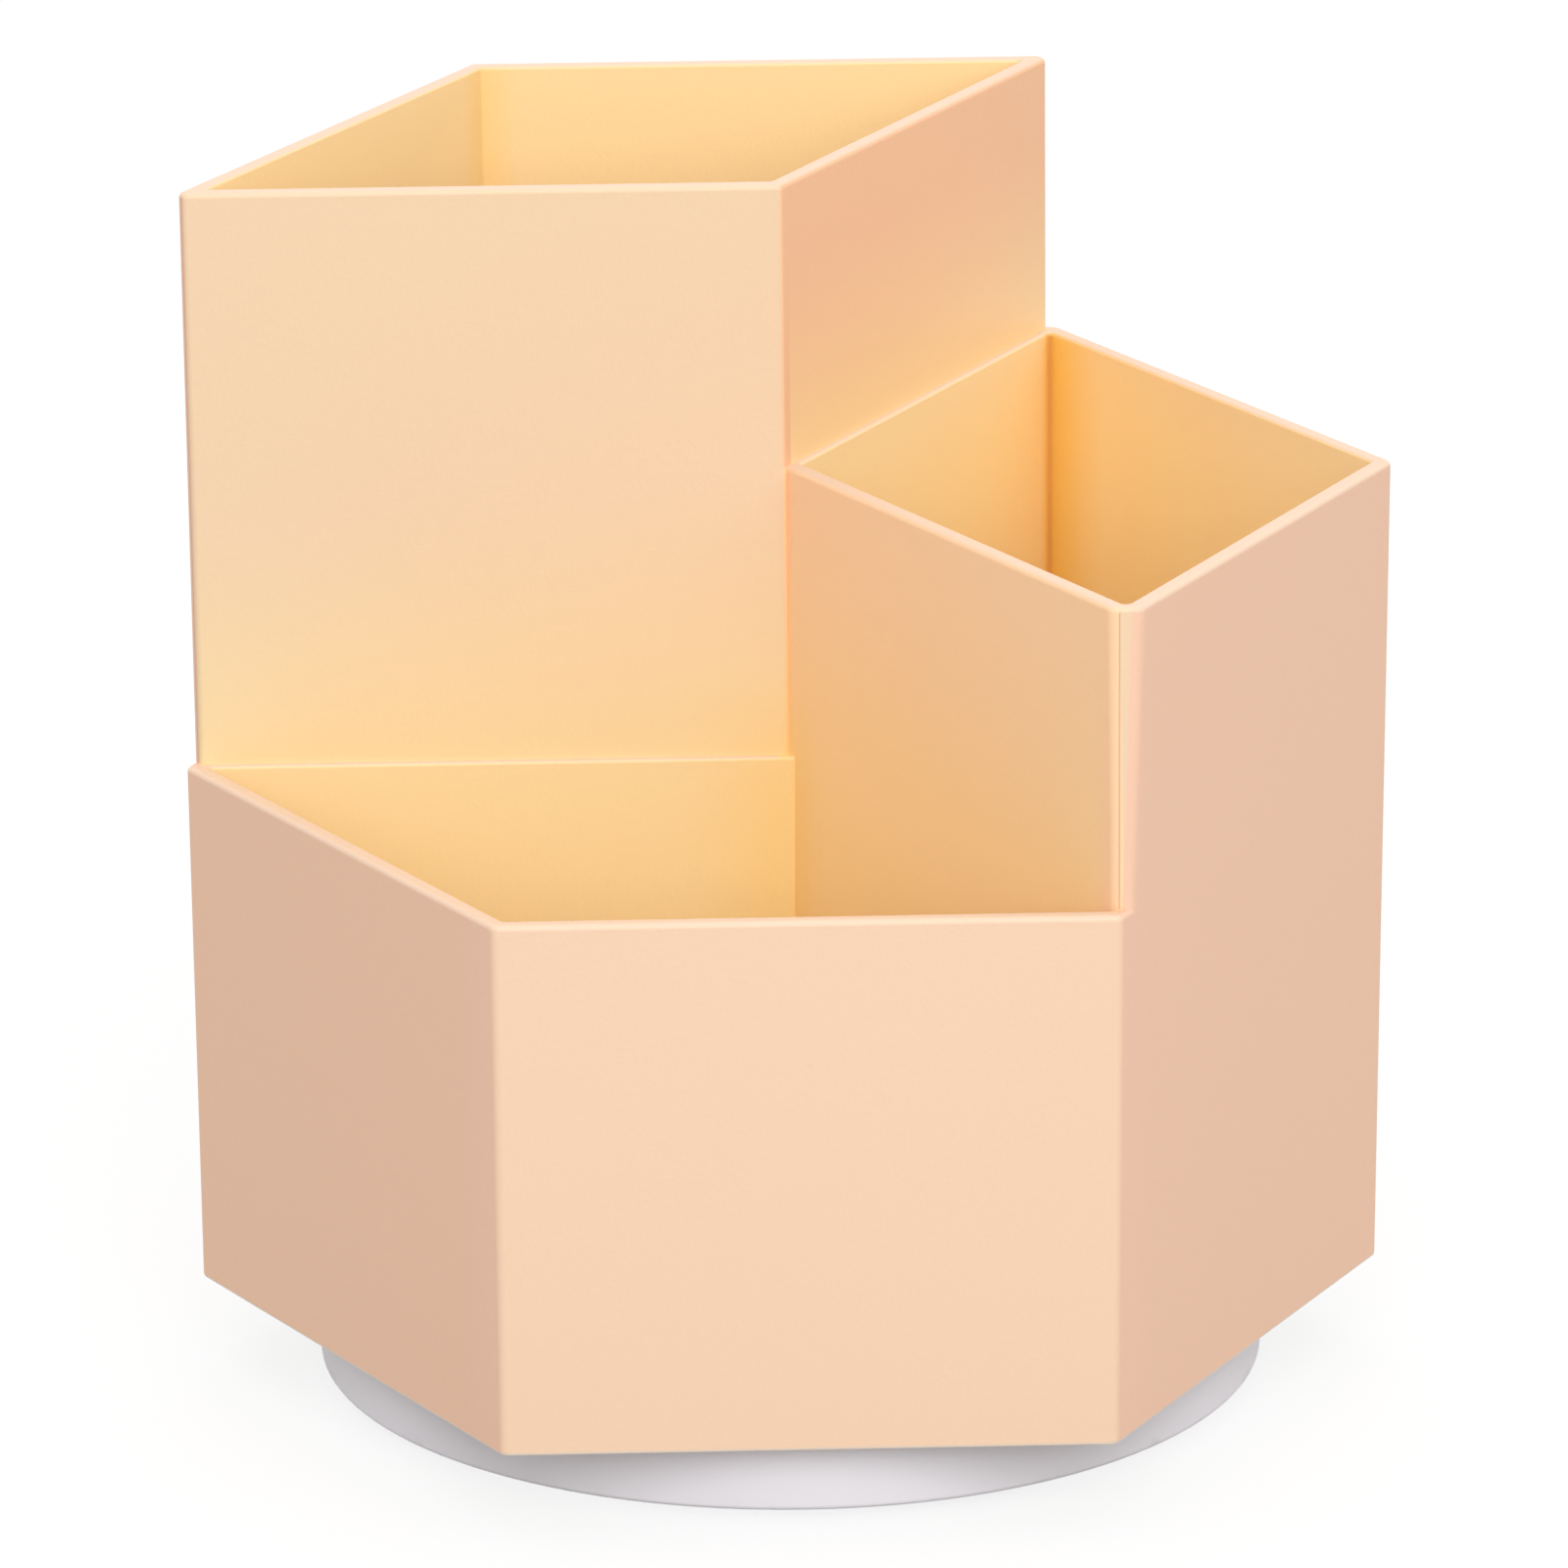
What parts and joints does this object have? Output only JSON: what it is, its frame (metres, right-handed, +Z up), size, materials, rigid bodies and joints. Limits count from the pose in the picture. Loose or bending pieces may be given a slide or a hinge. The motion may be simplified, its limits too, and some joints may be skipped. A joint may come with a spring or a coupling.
{
  "type": "rotating pen holder",
  "caption": "Hexagonal plastic pen holder with open rhombic cups of stepped heights, turning without limit on a round ball-bearing base.",
  "frame": {"origin": "on the axis of rotation at desk level, under the middle of the hexagon", "axes": "+Z up along the axis of rotation, -Y out of the front face of the low cup, +X towards the outer corner of the medium cup"},
  "size_m": [0.1308, 0.1138, 0.1329],
  "materials": {
    "cup_plastic": "satin apricot moulded plastic",
    "base_plastic": "satin white moulded plastic",
    "cage_plastic": "natural nylon",
    "bush_plastic": "white acetal",
    "steel": "zinc plated",
    "ball_steel": "polished bearing steel",
    "brass": "turned brass",
    "pad_rubber": "matte grey rubber"
  },
  "bodies": {
    "base": {"base_shell": "base_plastic", "pivot_bush": "bush_plastic", "foot_pad_1": "pad_rubber", "foot_pad_2": "pad_rubber", "foot_pad_3": "pad_rubber", "foot_pad_4": "pad_rubber"},
    "holder": {"cup_body": "cup_plastic", "swivel_disc": "base_plastic", "disc_screws": "steel", "pivot_insert": "brass", "pivot_screw": "steel", "spring_washer": "steel", "flat_washer": "steel"},
    "cage": {"ball_cage": "cage_plastic", "ball_01": "ball_steel", "ball_02": "ball_steel", "ball_03": "ball_steel", "ball_04": "ball_steel", "ball_05": "ball_steel", "ball_06": "ball_steel", "ball_07": "ball_steel", "ball_08": "ball_steel", "ball_09": "ball_steel", "ball_10": "ball_steel", "ball_11": "ball_steel", "ball_12": "ball_steel"}
  },
  "joints": [
    {"name": "holder_turn", "type": "hinge", "parent": "base", "child": "holder", "pos_m": [0, 0, 0.0086], "axis": [0, 0, 1], "continuous": true},
    {"name": "cage_turn", "type": "hinge", "parent": "base", "child": "cage", "pos_m": [0, 0, 0.0086], "axis": [0, 0, 1], "continuous": true}
  ],
  "couplings": [
    {"joint": "cage_turn", "follows": "holder_turn", "ratio": 0.5}
  ]
}
